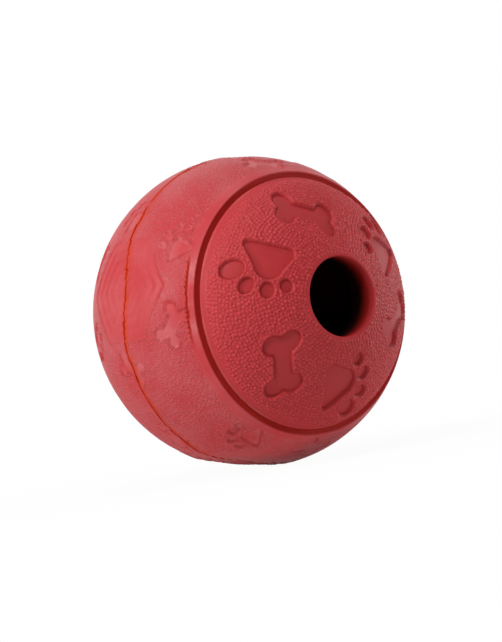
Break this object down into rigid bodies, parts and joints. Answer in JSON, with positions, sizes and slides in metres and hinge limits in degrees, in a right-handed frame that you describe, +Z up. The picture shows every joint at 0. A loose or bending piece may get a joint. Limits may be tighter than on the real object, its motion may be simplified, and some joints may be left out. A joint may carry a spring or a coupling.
{
  "type": "treat dispensing ball",
  "caption": "Hollow moulded rubber treat ball: bonded half shells with grooved domed caps, hexagon panels and a round mouth, around a partition with windows.",
  "frame": {"origin": "middle of the ball, on the mouth's axis and in the plane of the seam", "axes": "-Y out of the treat mouth, +Z up, +X to the right as seen from the mouth"},
  "size_m": [0.0698, 0.0686, 0.0698],
  "materials": {
    "red_rubber": "matt moulded natural rubber with a pebbled grain",
    "seam_cement": "matt cured rubber cement",
    "inner_rubber": "matt moulded natural rubber"
  },
  "bodies": {
    "root": {"front_half_shell": "red_rubber", "rear_half_shell": "red_rubber", "seam_cement": "seam_cement", "labyrinth_disc": "inner_rubber"}
  },
  "joints": []
}
